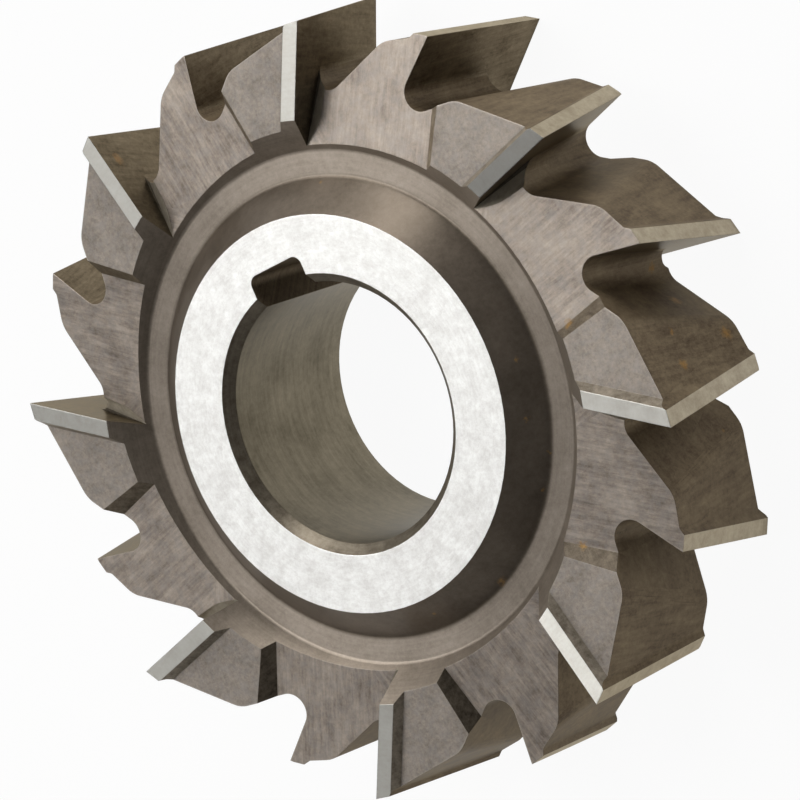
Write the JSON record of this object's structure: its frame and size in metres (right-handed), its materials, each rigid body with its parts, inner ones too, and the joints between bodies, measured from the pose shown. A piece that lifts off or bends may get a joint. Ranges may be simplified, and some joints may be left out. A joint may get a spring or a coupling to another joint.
{
  "type": "side and face milling cutter",
  "caption": "Staggered-tooth side and face milling cutter with alternate helical teeth, recessed side faces and a keyed bore.",
  "frame": {"origin": "centre of the bore on the back face", "axes": "+Z along the bore axis towards the front face, +Y through the middle of the keyway"},
  "size_m": [0.08, 0.08, 0.02],
  "materials": {
    "steel": "ground high speed steel, bright on the hub and side lands, brown and dull in the gullets"
  },
  "bodies": {
    "root": {"side_and_face_cutter": "steel"}
  },
  "joints": []
}
